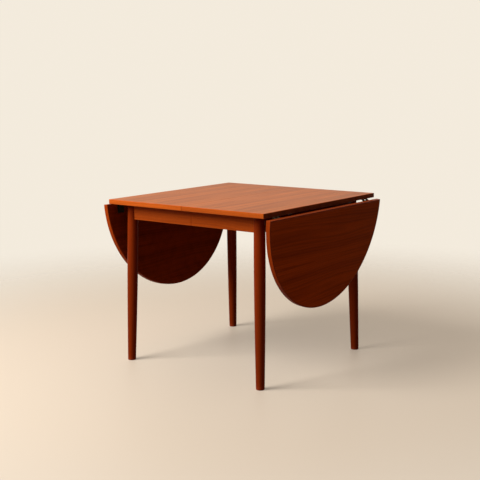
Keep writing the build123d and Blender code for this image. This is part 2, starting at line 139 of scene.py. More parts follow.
class TableFinishes(bpy.types.PropertyGroup):
    """Colours of woods and metals."""

    veneer: colour_setting("Veneer", "Teak veneer of the tops", (0.458, 0.117, 0.0130))
    # Painted shade: the leaves' veneer is a redder, deeper copy of the top's veneer, set to how it looks in
    # shade
    leaf_veneer: colour_setting(
        "Leaf Veneer", "Teak veneer of the leaves, which has faded less", (0.475, 0.076, 0.0035)
    )
    strip: colour_setting("Edge Strips", "Solid teak round the tops", (0.46, 0.090, 0.010))
    bent_strip: colour_setting("Bent Strips", "Solid teak round the leaves", (0.32, 0.044, 0.0035))
    apron: colour_setting("Aprons", "Solid teak of the front and back aprons", (0.40, 0.068, 0.006))
    # Painted shade: the end aprons are far darker than the long aprons, so the gap under the top shows deep
    # shade
    end_apron: colour_setting(
        "End Aprons",
        "Solid teak of the end aprons, which the leaves keep out of the light",
        (0.17, 0.025, 0.0025),
    )
    leg: colour_setting("Legs", "Solid teak of the legs", (0.21, 0.025, 0.0026))
    beech: colour_setting("Beech", "Beech of slides and blocks", (0.50, 0.29, 0.15))
    # The hinges' brass is a darkened finish, and darker still as painted shade so they sit dark in the shaded
    # gap
    brass: colour_setting("Brass", "Darkened brass of the hinges", (0.060, 0.036, 0.016))
    brass_tarnish: colour_setting("Brass Tarnish", "Tarnish on brass", (0.018, 0.011, 0.006))
    blackened: colour_setting("Blackened Steel", "Oil-blackened steel of the lopers", (0.055, 0.052, 0.050))
    blackened_film: colour_setting("Blackened Film", "Oil film on blackened steel", (0.0275, 0.026, 0.025))
    steel: colour_setting("Steel", "Clean steel", (0.42, 0.42, 0.42))
    steel_tarnish: colour_setting("Steel Tarnish", "Dulled steel", (0.17, 0.165, 0.16))


class TableStage(bpy.types.PropertyGroup):
    """Floor, light and camera."""

    floor_colour: colour_setting("Floor", "Colour of the floor", (0.46, 0.40, 0.335))
    floor_bounce: colour_setting("Floor Bounce", "Colour that the floor throws back", (0.215, 0.104, 0.043))
    floor_lift: share_setting("Floor Lift", "Share of its own colour that the floor adds in view", 0.45)
    floor_radius: size_setting("Floor Radius", "Radius of the floor", 3.4)
    backdrop_colour: colour_setting("Backdrop", "Colour behind the table", (0.90, 0.83, 0.72))
    room_glow: colour_setting("Room Glow", "Colour of the soft light round the table", (0.90, 0.74, 0.56))
    key_power: FloatProperty(
        name="Key Light",
        description="Power of the window light from the front left",
        default=270.0,
        unit="POWER",
    )
    camera_place: FloatVectorProperty(
        name="Camera",
        description="Where the camera stands",
        default=(2.5973, -3.3539, 1.2379),
        size=3,
        subtype="XYZ",
    )
    camera_yaw: angle_setting("Yaw", "Turn of the view from straight ahead", -0.6633)
    camera_pitch: angle_setting("Pitch", "Slope of the view below level", 0.1643)
    camera_roll: angle_setting("Roll", "Turn of the picture about the view", -0.0094)
    camera_lens: FloatProperty(
        name="Lens",
        description="Focal length in millimetres for a 36 mm sensor",
        default=71.11,
        unit="CAMERA",
    )


# Node helpers


def put(tree, kind, values=None, **settings):
    """Adds a node with these settings, and links or sets its inputs."""
    node = tree.nodes.new(kind)
    for key, value in settings.items():
        setattr(node, key, value)
    for key, value in (values or {}).items():
        if isinstance(value, bpy.types.NodeSocket):
            tree.links.new(value, node.inputs[key])
        else:
            node.inputs[key].default_value = value
    return node


def calc(tree, operation, *terms):
    """The result of a maths node."""
    return put(tree, "ShaderNodeMath", dict(enumerate(terms)), operation=operation).outputs[0]


def vector_calc(tree, operation, *terms):
    """The outputs of a vector maths node."""
    return put(tree, "ShaderNodeVectorMath", dict(enumerate(terms)), operation=operation).outputs


def split(tree, vector):
    """The three parts of a vector."""
    return put(tree, "ShaderNodeSeparateXYZ", {0: vector}).outputs


def joined(tree, *parts):
    """A vector from up to three parts."""
    return put(tree, "ShaderNodeCombineXYZ", dict(enumerate(parts))).outputs[0]


def noise(tree, vector, factors, detail, rough):
    """A noise value around 0.5, stretched by the factors."""
    stretched = vector_calc(tree, "MULTIPLY", vector, factors)[0]
    values = {"Vector": stretched, "Scale": 1.0, "Detail": detail, "Roughness": rough}
    return put(tree, "ShaderNodeTexNoise", values).outputs[0]


def white_noise(tree, number):
    """An even random value for each whole number."""
    return put(tree, "ShaderNodeTexWhiteNoise", {"W": number}, noise_dimensions="1D").outputs[0]


def ranged(tree, value, low, high, start=0.0, end=1.0, smooth=True):
    """A value mapped from one range to another and held there."""
    values = {"Value": value, "From Min": low, "From Max": high, "To Min": start, "To Max": end}
    kind = "SMOOTHSTEP" if smooth else "LINEAR"
    return put(tree, "ShaderNodeMapRange", values, interpolation_type=kind).outputs[0]


def mixed(tree, factor, first, second, blend="MIX"):
    """One colour mixed into another."""
    node = put(tree, "ShaderNodeMix", {0: factor, 6: first, 7: second}, data_type="RGBA", blend_type=blend)
    return node.outputs[2]


def rgba(colour):
    """A colour with full alpha."""
    return (*colour, 1.0)


def new_group(name, kind, inputs, outputs):
    """A node group with its sockets, and its input and output nodes."""
    tree = bpy.data.node_groups.new(name, kind)
    for label, (socket, value) in inputs.items():
        made = tree.interface.new_socket(name=label, in_out="INPUT", socket_type=socket)
        if value is not None:
            made.default_value = value
    for label, socket in outputs.items():
        tree.interface.new_socket(name=label, in_out="OUTPUT", socket_type=socket)
    return tree, tree.nodes.new("NodeGroupInput"), tree.nodes.new("NodeGroupOutput")


def give(tree, go, **results):
    """Links results to a group's outputs."""
    for label, socket in results.items():
        tree.links.new(socket, go.inputs[label])


# Shader groups

COLOUR, NUMBER, VECTOR = "NodeSocketColor", "NodeSocketFloat", "NodeSocketVector"
WHOLE, MATERIAL, GEOMETRY = "NodeSocketInt", "NodeSocketMaterial", "NodeSocketGeometry"
# Noises: how often they vary per metre across, along and into a board, their detail and their roughness
WANDER = ((3.1, 0.7, 3.1), 2.0, 0.5)
RIPPLE = ((24.0, 2.2, 24.0), 3.0, 0.5)
STREAKS = ((22.0, 0.8, 22.0), 4.0, 0.58)
FIBRES = ((780.0, 13.0, 780.0), 3.0, 0.6)
DASHES = ((1700.0, 64.0, 1700.0), 1.0, 0.5)
PATCHES = ((23.0, 23.0, 23.0), 3.0, 0.6)
CLOUDS = ((46.0, 46.0, 46.0), 3.0, 0.5)
SPECKS = ((900.0, 900.0, 900.0), 2.0, 0.6)
BRUSHING = ((60.0, 2600.0, 2600.0), 2.0, 0.5)
# Rings: how far they wander and ripple in metres, how they climb, and where late wood starts and peaks
WANDER_REACH = 0.10
RIPPLE_REACH = 0.012
CLIMB = 0.009
LATE_START = 0.1
LATE_PEAK = 0.84
# Ranges: from which low and high value, and to which
RING_LEVELS = (0.0, 1.0, 0.2, 1.0)
PORE_LEVELS = (0.61, 0.70)
EARLY_PORES = (0.9, 0.2, 0.35, 1.0)
STREAK_TONES = (0.28, 0.76, -0.20, 0.56)
FIBRE_TONES = (0.2, 0.8, -0.16, 0.16)
FIBRE_ROUGHNESS = (0.2, 0.8, 0.30, 0.42)
RUB_PATCHES = (0.35, 0.7, 0.12, 0.5)
DIRT_PATCHES = (0.3, 0.65, 0.95, 0.7)
TARNISH_LEVELS = (0.4, 1.05)
BRUSHED_ROUGHNESS = (0.2, 0.8, 0.26, 0.40)
# Weights
EVEN_TONE = 0.06
PORE_ROUGHNESS = 0.2
FIBRE_HEIGHT = 0.35
DIRT_POWER = 1.5
SPECK_TARNISH = 0.22
WEAR_TARNISH = 0.3
TARNISH_ROUGHNESS = 0.3
SPECK_HEIGHT = 0.3
BRUSH_HEIGHT = 0.6


def wood_figure():
    """Rings, streaks, fibres and pores of a board, from grain coordinates: across, along and into it."""
    if "wood_figure" in bpy.data.node_groups:
        return bpy.data.node_groups["wood_figure"]
    tree, come, go = new_group(
        "wood_figure",
        "ShaderNodeTree",
        {
            "Grain": (VECTOR, None),
            "Light": (COLOUR, (0.4, 0.1, 0.02, 1)),
            "Dark": (COLOUR, (0.2, 0.04, 0.01, 1)),
            "Pore": (COLOUR, (0.06, 0.01, 0.0, 1)),
            "Ring Width": (NUMBER, 0.008),
            "Pith": (NUMBER, 0.07),
            "Figure": (NUMBER, 0.6),
            "Pores": (NUMBER, 0.6),
        },
        {"Color": COLOUR, "Roughness": NUMBER, "Height": NUMBER},
    )
    grain = come.outputs["Grain"]
    parts = split(tree, grain)
    # Rings round the pith, which wander, ripple and climb along the board
    wander = calc(tree, "SUBTRACT", noise(tree, grain, *WANDER), 0.5)
    ripple = calc(tree, "SUBTRACT", noise(tree, grain, *RIPPLE), 0.5)
    across = calc(tree, "MULTIPLY_ADD", wander, WANDER_REACH, parts[0])
    into = calc(tree, "ADD", parts[2], come.outputs["Pith"])
    squares = calc(tree, "MULTIPLY_ADD", across, across, calc(tree, "MULTIPLY", into, into))
    radius = calc(tree, "MULTIPLY_ADD", ripple, RIPPLE_REACH, calc(tree, "SQRT", squares))
    radius = calc(tree, "MULTIPLY_ADD", parts[1], CLIMB, radius)
    rings = calc(tree, "DIVIDE", radius, come.outputs["Ring Width"])
    phase = calc(tree, "FRACT", rings)
    late = calc(
        tree, "MULTIPLY", ranged(tree, phase, LATE_START, LATE_PEAK), ranged(tree, phase, 1.0, LATE_PEAK)
    )
    which = white_noise(tree, calc(tree, "FLOOR", rings))
    late = calc(tree, "MULTIPLY", late, ranged(tree, which, *RING_LEVELS, smooth=False))
    # Broad streaks, fine fibres, and pores that are more frequent in early wood
    streak = noise(tree, grain, *STREAKS)
    fibre = noise(tree, grain, *FIBRES)
    dash = noise(tree, grain, *DASHES)
    pore = calc(tree, "MULTIPLY", ranged(tree, dash, *PORE_LEVELS), ranged(tree, phase, *EARLY_PORES))
    pore = calc(tree, "MULTIPLY", pore, come.outputs["Pores"])
    tone = calc(tree, "MULTIPLY_ADD", late, come.outputs["Figure"], EVEN_TONE)
    tone = calc(tree, "ADD", tone, ranged(tree, streak, *STREAK_TONES, smooth=False))
    tone = calc(tree, "ADD", tone, ranged(tree, fibre, *FIBRE_TONES, smooth=False))
    tone = put(tree, "ShaderNodeClamp", {0: tone}).outputs[0]
    wood = mixed(tree, tone, come.outputs["Light"], come.outputs["Dark"])
    wood = mixed(tree, pore, wood, come.outputs["Pore"])
    rough = ranged(tree, fibre, *FIBRE_ROUGHNESS, smooth=False)
    rough = calc(tree, "MULTIPLY_ADD", pore, PORE_ROUGHNESS, rough)
    height = calc(tree, "SUBTRACT", calc(tree, "MULTIPLY", fibre, FIBRE_HEIGHT), pore)
    give(tree, go, Color=wood, Roughness=rough, Height=height)
    return tree


def handled_edges():
    """Patchy masks where hands have rubbed an edge pale, and where dirt lies in a joint or painted shade
    darkens a face.
    """
    if "handled_edges" in bpy.data.node_groups:
        return bpy.data.node_groups["handled_edges"]
    tree, come, go = new_group(
        "handled_edges",
        "ShaderNodeTree",
        {"Edge": (NUMBER, 0.0), "Joint": (NUMBER, 0.0), "Place": (VECTOR, None)},
        {"Rub": NUMBER, "Dirt": NUMBER},
    )
    patch = noise(tree, come.outputs["Place"], *PATCHES)
    rub = calc(tree, "MULTIPLY", come.outputs["Edge"], ranged(tree, patch, *RUB_PATCHES))
    joint = calc(tree, "POWER", come.outputs["Joint"], DIRT_POWER)
    dirt = calc(tree, "MULTIPLY", joint, ranged(tree, patch, *DIRT_PATCHES))
    give(tree, go, Rub=rub, Dirt=dirt)
    return tree


def metal_marks():
    """Tarnish, fine scratches and relief of a metal part, from its place in metres."""
    if "metal_marks" in bpy.data.node_groups:
        return bpy.data.node_groups["metal_marks"]
    tree, come, go = new_group(
        "metal_marks",
        "ShaderNodeTree",
        {"Place": (VECTOR, None), "Wear": (NUMBER, 0.5)},
        {"Tarnish": NUMBER, "Roughness": NUMBER, "Height": NUMBER},
    )
    place = come.outputs["Place"]
    cloud = noise(tree, place, *CLOUDS)
    speck = noise(tree, place, *SPECKS)
    brush = noise(tree, place, *BRUSHING)
    film = calc(tree, "MULTIPLY_ADD", speck, SPECK_TARNISH, cloud)
    film = calc(tree, "MULTIPLY_ADD", come.outputs["Wear"], WEAR_TARNISH, film)
    tarnish = ranged(tree, film, *TARNISH_LEVELS)
    brushed = ranged(tree, brush, *BRUSHED_ROUGHNESS, smooth=False)
    rough = calc(tree, "MULTIPLY_ADD", tarnish, TARNISH_ROUGHNESS, brushed)
    height = calc(tree, "MULTIPLY_ADD", speck, SPECK_HEIGHT, calc(tree, "MULTIPLY", brush, BRUSH_HEIGHT))
    give(tree, go, Tarnish=tarnish, Roughness=rough, Height=height)
    return tree


# Materials

SATIN = 0.045
LOW_SATIN = 0.025
LEAF_SATIN = 0.007
LENGTHWAYS = (0, 0, QUARTER)
CROSSWAYS = (0, 0, 0)
VENEER_FIGURE = {"Ring_Width": 0.0085, "Pith": 0.05, "Pores": 0.5}
STRIP_FIGURE = {"Ring_Width": 0.005, "Pith": 0.06, "Figure": 0.3}
LEG_FIGURE = {"Ring_Width": 0.006, "Pith": 0.045, "Figure": 0.4}
APRON_FIGURE = {"Ring_Width": 0.006, "Pith": -0.5, "Figure": 0.35}
BEECH_FIGURE = {"Ring_Width": 0.0026, "Pith": 0.09, "Figure": 0.28, "Pores": 0.35}
VENEERED = {"veneered": True, "handled": True, **VENEER_FIGURE}
HANDLED = {"handled": True, "satin": LOW_SATIN}
WOODS = {
    "oiled_teak_veneer": {"wood": "veneer", "Figure": 0.46, **VENEERED},
    # The leaves' veneer carries painted shade in its colour
    "oiled_teak_leaf_veneer": {"wood": "leaf_veneer", "Figure": 0.34, "satin": LEAF_SATIN, **VENEERED},
    "oiled_teak_strip": {"wood": "strip", **HANDLED, **STRIP_FIGURE},
    "oiled_teak_bent_strip": {"wood": "bent_strip", **HANDLED, **STRIP_FIGURE},
    "oiled_teak_turned": {"wood": "leg", **HANDLED, **LEG_FIGURE},
    "oiled_teak_long_apron": {"wood": "apron", "turn": LENGTHWAYS, **APRON_FIGURE},
    # The end aprons' colour is painted shade
    "oiled_teak_end_apron": {"wood": "end_apron", "turn": CROSSWAYS, "satin": LOW_SATIN, **APRON_FIGURE},
    "beech_lengthways": {"wood": "beech", "turn": LENGTHWAYS, **BEECH_FIGURE},
    "beech_crossways": {"wood": "beech", "turn": CROSSWAYS, **BEECH_FIGURE},
}
METALS = {
    "aged_brass": ("brass", "brass_tarnish", 0.9),
    "blackened_steel": ("blackened", "blackened_film", 0.5),
    "dull_steel": ("steel", "steel_tarnish", 0.4),
}
EARLY_SHARES = (1.12, 1.12, 1.12)
LATE_SHARES = (0.46, 0.38, 0.36)
PORE_SHARES = (0.22, 0.15, 0.14)
# Near black, for dirt in the joints and for painted shade on side faces and leaf undersides
DIRT_AND_SHADE_SHARES = (0.04, 0.04, 0.04)
PALE_GAIN = 1.3
PALE_LIFT = 0.012
RUBBED_ROUGHNESS = -0.12
DIRTY_ROUGHNESS = 0.3
SHEET_MIDDLE = 0.42
SHEET_LEVELS = (0.94, 1.06)


def new_material(name, **sockets):
    """A material with a Principled shader, its plain sockets set, and its node tree."""
    material = bpy.data.materials.new(name)
    material.use_nodes = True
    tree = material.node_tree
    shader = next(n for n in tree.nodes if n.type == "BSDF_PRINCIPLED")
    for label, value in sockets.items():
        shader.inputs[label.replace("_", " ")].default_value = value
    return material, tree, shader


def dress(tree, shader, colour, rough, height, strength, distance):
    """Links colour, roughness and bump to a shader."""
    bump = put(tree, "ShaderNodeBump", {"Height": height, "Strength": strength, "Distance": distance})
    tree.links.new(colour, shader.inputs["Base Color"])
    tree.links.new(rough, shader.inputs["Roughness"])
    tree.links.new(bump.outputs[0], shader.inputs["Normal"])


def attribute(tree, name, output):
    """A mesh attribute's value."""
    return put(tree, "ShaderNodeAttribute", attribute_name=name).outputs[output]


def object_place(tree):
    """Object coordinates, in metres."""
    return put(tree, "ShaderNodeTexCoord").outputs["Object"]


def grain_of(tree, turn):
    """Grain coordinates: the piece's own attribute, or Object coordinates turned so that Y is along."""
    if turn is None:
        return attribute(tree, "grain", "Vector")
    return put(tree, "ShaderNodeMapping", {"Vector": object_place(tree), "Rotation": turn}).outputs[0]


def shade(colour, shares):
    """A colour with each part multiplied."""
    return rgba([part * share for part, share in zip(colour, shares)])


def wood_material(name, wood, turn=None, veneered=False, handled=False, satin=SATIN, **figure):
    """A satin wood: its figure, and optionally matched sheets of veneer or handled edges, dirt and painted
    shade.
    """
    colour = getattr(bpy.context.scene.table_finishes, wood)
    material, tree, shader = new_material(name, Specular_IOR_Level=satin)
    place = grain_of(tree, turn)
    grain = place
    sheet = None
    if veneered:
        width = bpy.context.scene.table_sizes.veneer_width
        parts = split(tree, place)
        sheet = calc(tree, "FLOOR", calc(tree, "DIVIDE", parts[0], width))
        folded = calc(tree, "SUBTRACT", calc(tree, "PINGPONG", parts[0], width), SHEET_MIDDLE * width)
        grain = joined(tree, folded, parts[1], 0.0)
    values = {label.replace("_", " "): value for label, value in figure.items()}
    values["Grain"] = grain
    for label, shares in (("Light", EARLY_SHARES), ("Dark", LATE_SHARES), ("Pore", PORE_SHARES)):
        values[label] = shade(colour, shares)
    board = put(tree, "ShaderNodeGroup", values, node_tree=wood_figure()).outputs
    surface, rough = board["Color"], board["Roughness"]
    if veneered:
        level = ranged(tree, white_noise(tree, sheet), 0.0, 1.0, *SHEET_LEVELS, smooth=False)
        tint = put(tree, "ShaderNodeCombineColor", {0: level, 1: level, 2: level}).outputs[0]
        surface = mixed(tree, 1.0, surface, tint, "MULTIPLY")
    if handled:
        masks = {label: attribute(tree, label.lower(), "Fac") for label in ("Edge", "Joint")}
        marks = put(tree, "ShaderNodeGroup", {"Place": place, **masks}, node_tree=handled_edges()).outputs
        pale = rgba([min(1.0, PALE_GAIN * part + PALE_LIFT) for part in colour])
        surface = mixed(tree, marks["Rub"], surface, pale)
        # The dirt mask also carries painted shade on the side strips' outer faces and the leaves' undersides
        surface = mixed(tree, marks["Dirt"], surface, shade(colour, DIRT_AND_SHADE_SHARES))
        rough = calc(tree, "MULTIPLY_ADD", marks["Rub"], RUBBED_ROUGHNESS, rough)
        rough = calc(tree, "MULTIPLY_ADD", marks["Dirt"], DIRTY_ROUGHNESS, rough)
    dress(tree, shader, surface, rough, board["Height"], strength=0.22, distance=0.0003)
    return material


def metal_material(name, clean, tarnished, wear):
    """A worked metal with tarnish and brush marks."""
    finishes = bpy.context.scene.table_finishes
    material, tree, shader = new_material(name, Metallic=1.0)
    values = {"Place": object_place(tree), "Wear": wear}
    marks = put(tree, "ShaderNodeGroup", values, node_tree=metal_marks()).outputs
    shades = [rgba(getattr(finishes, key)) for key in (clean, tarnished)]
    colour = mixed(tree, marks["Tarnish"], *shades)
    dress(tree, shader, colour, marks["Roughness"], marks["Height"], strength=0.15, distance=0.0001)
    return material


def finish(name):
    """A finish of this table by name, made once."""
    if name in bpy.data.materials:
        return bpy.data.materials[name]
    if name in WOODS:
        return wood_material(name, **WOODS[name])
    return metal_material(name, *METALS[name])


def coat(node, name):
    """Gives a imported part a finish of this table."""
    mesh = frame["nodes"][node].data
    mesh.materials.clear()
    mesh.materials.append(finish(name))


# Mesh helpers

RUB_REACH = 0.0015
CORNER_STEPS = 5


def mean_point(ring):
    """The middle of a ring of (place, grain, edge, joint)."""
    count = len(ring)
    place = sum((p[0] for p in ring), Vector()) / count
    grain = tuple(sum(p[1][i] for p in ring) / count for i in range(3))
    return place, grain, 0.0, sum(p[3] for p in ring) / count


class Skin:
    """A mesh in the making: points of (place, grain, edge, joint), and faces."""

    def __init__(self):
        self.points = []
        self.faces = []

    def add_loft(self, rings):
        """Adds a closed skin over rings of points, with fans for its two ends."""
        count = len(rings[0])
        first = len(self.points)
        last = first + (len(rings) - 1) * count
        first_middle, last_middle = last + count, last + count + 1
        for j in range(count):
            k = (j + 1) % count
            self.faces.append((first_middle, first + k, first + j))
            self.faces.append((last_middle, last + j, last + k))
            for start in range(first, last, count):
                self.faces.append((start + j, start + k, start + count + k, start + count + j))
        for ring in rings:
            self.points += ring
        self.points += [mean_point(rings[0]), mean_point(rings[-1])]

    def make(self, name, finish_name, body, node):
        """Makes the piece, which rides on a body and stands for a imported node."""
        places, grains, edges, joints = zip(*self.points)
        mesh = bpy.data.meshes.new(name)
        mesh.from_pydata(places, [], self.faces)
        # The joint mask holds dirt at the seams and painted shade on side faces and leaf undersides
        mark(mesh, grain=grains, edge=edges, joint=joints)
        settle(mesh, name, finish_name, body, node)


def mark(mesh, grain, **masks):
    """Stores grain coordinates and masks on a mesh's vertices."""
    flat = [part for point in grain for part in point]
    mesh.attributes.new("grain", "FLOAT_VECTOR", "POINT").data.foreach_set("vector", flat)
    for label, values in masks.items():
        mesh.attributes.new(label, "FLOAT", "POINT").data.foreach_set("value", values)


def packed_copy(node):
    """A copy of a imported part's mesh to work on, with its loose triangles merged."""
    work = bmesh.new()
    work.from_mesh(frame["nodes"][node].data)
    bmesh.ops.remove_doubles(work, verts=work.verts, dist=MERGE)
    return work


def join_flat_faces(work):
    """Joins triangles that lie in one plane."""
    bmesh.ops.dissolve_limit(work, angle_limit=FLAT_ANGLE, verts=work.verts, edges=work.edges)


def plain_mesh(work, name):
    """A mesh of triangles and quads from a finished copy."""
    bmesh.ops.triangulate(work, faces=[face for face in work.faces if len(face.verts) > 4])
    mesh = bpy.data.meshes.new(name)
    work.to_mesh(mesh)
    work.free()
    return mesh


def settle(mesh, name, finish_name, body, node):
    """Cleans a mesh, gives it its finish and shading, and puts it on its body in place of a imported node."""
    work = bmesh.new()
    work.from_mesh(mesh)
    bmesh.ops.remove_doubles(work, verts=work.verts, dist=MERGE)
    bmesh.ops.dissolve_degenerate(work, edges=work.edges, dist=MERGE)
    bmesh.ops.recalc_face_normals(work, faces=work.faces)
    work.to_mesh(mesh)
    work.free()
    packed_normals = mesh.attributes.get("custom_normal")
    if packed_normals:
        mesh.attributes.remove(packed_normals)
    mesh.materials.clear()
    mesh.materials.append(finish(finish_name))
    mesh.shade_smooth()
    mesh.set_sharp_from_angle(angle=SMOOTH_ANGLE)
    piece = bpy.data.objects.new(name, mesh)
    bpy.context.scene.collection.objects.link(piece)
    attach(piece, body)
    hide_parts(node)


def strip_section(ease):
    """Section of an edge strip, as (out, up, edge) from its glued side round its two eased corners."""
    calm = ease + RUB_REACH
    lower, upper = [], []
    for i in range(CORNER_STEPS + 1):
        angle = QUARTER * i / CORNER_STEPS
        along, away = ease * math.sin(angle), ease * math.cos(angle)
        lower.append((STRIP_WIDTH - ease + along, ease - away, 1.0))
        upper.append((STRIP_WIDTH - ease + away, BOARD - ease + along, 1.0))
    face = [(STRIP_WIDTH, calm, 0.0), (STRIP_WIDTH, BOARD - calm, 0.0)]
    under = [(0.0, 0.0, 0.0), (STRIP_WIDTH - calm, 0.0, 0.0)]
    over = [(STRIP_WIDTH - calm, BOARD, 0.0), (0.0, BOARD, 0.0)]
    return under + lower + face + upper + over


def station(section, origin, out, up, along, shift, trim=0.0, joint=0.0, side_shade=0.0):
    """A strip's section at one place along it, trimmed on its free sides, dirty all over or with painted
    shade outside.
    """
    ring = []
    for u, v, edge in section:
        outer = u > STRIP_WIDTH - MERGE and 0.0 < v < BOARD
        # The outer face of a side strip takes painted shade in place of joint dirt
        dirt = side_shade if outer and side_shade else joint
        u = min(u, STRIP_WIDTH - trim)
        v = min(max(v, trim), BOARD - trim)
        ring.append((origin + out * u + up * v, (v + shift, along, u + shift), edge, dirt))
    return ring


# Tops and leaves

CUT = 1e-7
END_STEPS = 4
# Shifts in metres that give each strip a grain of its own
TOP_SHIFT = 0.05
LEAF_SHIFT = 0.1
STRAIGHT_SHIFT = 0.03


class TABLE_OT_dress_tops(bpy.types.Operator):
    """Make the veneered halves of the top and the strips round their edges"""

    bl_idname = "table.dress_tops"
    bl_label = "Dress Tops"

    def execute(self, context):
        sizes = context.scene.table_sizes
        for name, side in SIDES.items():
            self.make_panel(name, side, sizes)
            self.make_strips(name, side, sizes)
        return {"FINISHED"}

    def make_panel(self, name, side, sizes):
        """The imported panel, closed up to the seam, with its corner eased there and dirt beside it."""
        node = f"{name}_top_panel"
        low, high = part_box(node)
        corner = sizes.seam_gap + sizes.seam_ease
        work = packed_copy(node)
        for vert in work.verts:
            if abs(vert.co.x) < MEETING:
                vert.co.x = side * sizes.seam_gap
                if vert.co.z > high.z - 2 * MEETING:
                    vert.co.z = high.z - sizes.seam_ease
            elif abs(vert.co.x) < 2 * MEETING:
                vert.co.x = side * corner
        join_flat_faces(work)
        parts = [*work.verts, *work.edges, *work.faces]
        dirt_end = Vector((side * (corner + sizes.seam_dirt), 0, 0))
        bmesh.ops.bisect_plane(work, geom=parts, plane_co=dirt_end, plane_no=(1, 0, 0), dist=CUT)
        mesh = plain_mesh(work, f"{name}_top_veneer")
        joints = []
        for vert in mesh.vertices:
            near = 1.0 - (abs(vert.co.x) - sizes.seam_gap) / (sizes.seam_ease + sizes.seam_dirt)
            joints.append(max(0.0, near) ** 2 * (vert.co.z - low.z) / (high.z - low.z))
        mark(mesh, grain=[tuple(vert.co) for vert in mesh.vertices], joint=joints)
        settle(mesh, f"{name}_top_veneer", "oiled_teak_veneer", f"{name}_half", node)

    def make_strips(self, name, side, sizes):
        """Strips along the front, the back and the hinged side, mitred at the corners."""
        section = strip_section(sizes.edge_round)
        outward = Vector((side, 0, 0))
        ease, seam = sizes.seam_ease, sizes.seam_gap
        skin = Skin()
        for end in ENDS.values():
            across = Vector((0, end, 0))
            shift = TOP_SHIFT * (end + 2 * side + 4)
            # Each stop: its place along the strip, which way it faces, its trim and its dirt
            stops = (
                (seam, across, ease, 1.0),
                (seam + ease, across, 0.0, 0.7),
                (seam + ease + sizes.seam_dirt, across, 0.0, 0.0),
                (PANEL_HIGH.x - HAIR, across + outward, 0.0, 0.0),
            )
            rings = []
            for x, out, trim, joint in stops:
                origin = Vector((side * x, end * PANEL_HIGH.y, STRIPS_LOW.z))
                rings.append(station(section, origin, out, UP, x, shift, trim, joint))
            skin.add_loft(rings)
        # The strip along the hinged side, whose outer face gets painted shade
        rings = []
        for end in ENDS.values():
            origin = Vector((side * PANEL_HIGH.x, end * (PANEL_HIGH.y - HAIR), STRIPS_LOW.z))
            out = outward + Vector((0, end, 0))
            shift = TOP_SHIFT * side
            rings.append(station(section, origin, out, UP, origin.y, shift, side_shade=sizes.side_shade))
        skin.add_loft(rings)
        top = f"{name}_top"
        skin.make(f"{top}_strips", "oiled_teak_strip", f"{name}_half", f"{top}_lipping")


class TABLE_OT_dress_leaves(bpy.types.Operator):
    """Make the half-round leaves, hanging, and the strips round them"""

    bl_idname = "table.dress_leaves"
    bl_label = "Dress Leaves"

    def execute(self, context):
        sizes = context.scene.table_sizes
        for name, side in SIDES.items():
            away = Vector((side * math.cos(LEVEL_ANGLE), 0, -math.sin(LEVEL_ANGLE)))
            out = Vector((side * math.sin(LEVEL_ANGLE), 0, math.cos(LEVEL_ANGLE)))
            pin = Vector(JOINTS[f"{name}_leaf_hinge"]["pos_m"])
            origin = pin + out * sizes.pin_drop - away * sizes.edge_overlap
            radius = STRIPS_HIGH.y - STRIP_WIDTH
            self.make_panel(name, side, origin, away, out, radius, sizes)
            self.make_strips(name, side, origin, away, out, radius, sizes)
        return {"FINISHED"}

    def make_panel(self, name, side, origin, away, out, radius, sizes):
        """The veneered part of a leaf, from its underside to its upper side, which hangs outwards."""
        first = math.asin(STRIP_WIDTH / radius)
        rings = []
        # The underside ring carries painted shade that darkens the leaf's underside
        for up, dirt in ((0.0, sizes.under_shade), (BOARD, 0.0)):
            ring = []
            for i in range(sizes.arc_steps + 1):
                angle = first + (math.pi - 2 * first) * i / sizes.arc_steps
                along, down = radius * math.cos(angle), radius * math.sin(angle)
                place = origin + ALONG_Y * along + away * down + out * up
                ring.append((place, (side * (STRIPS_HIGH.x + down), along, up), 0.0, dirt))
            rings.append(ring)
        skin = Skin()
        skin.add_loft(rings)
        leaf = f"{name}_leaf"
        skin.make(f"{leaf}_veneer", "oiled_teak_leaf_veneer", leaf, f"{leaf}_panel")

    def make_strips(self, name, side, origin, away, out, radius, sizes):
        """The bent strip round the arc, with its two ends eased, and the straight one between them."""
        ease, steps = sizes.edge_round, sizes.arc_steps
        section = strip_section(ease)
        shift = LEAF_SHIFT * side
        stops = []
        for i in range(END_STEPS):
            depth = ease * (1 - math.cos(QUARTER * i / END_STEPS))
            stops.append((depth / radius, ease - math.sqrt(ease * ease - (ease - depth) ** 2)))
        eased_ends = [(math.pi - angle, trim) for angle, trim in reversed(stops)]
        for i in range(steps + 1):
            stops.append((ease / radius + (math.pi - 2 * ease / radius) * i / steps, 0.0))
        rings = []
        for angle, trim in stops + eased_ends:
            spoke = ALONG_Y * math.cos(angle) + away * math.sin(angle)
            rings.append(station(section, origin + spoke * radius, spoke, out, radius * angle, shift, trim))
        skin = Skin()
        skin.add_loft(rings)
        rings = []
        for end in ENDS.values():
            start = origin + ALONG_Y * end * (radius - 2 * HAIR) + away * STRIP_WIDTH
            rings.append(station(section, start, -away, out, start.y, shift + STRAIGHT_SHIFT))
        skin.add_loft(rings)
        leaf = f"{name}_leaf"
        skin.make(f"{leaf}_strips", "oiled_teak_bent_strip", leaf, f"{leaf}_lipping")


# Legs

LEG_PROFILE = ((-0.0036, 0.0230), (0.285, 0.02375), (0.520, 0.02125), (0.7186, 0.0180))
LEG_GAUGES = 12
CURVE_SCALE = 20.0
FOOT_WEAR = 0.03


def leg_radius(drop):
    """Radius of a turned leg at a drop below its head, on the cubic through its four gauge points."""
    total = 0.0
    for place, radius in LEG_PROFILE:
        for other, _ in LEG_PROFILE:
            if other != place:
                radius *= (drop - other) / (place - other)
        total += radius
    return total


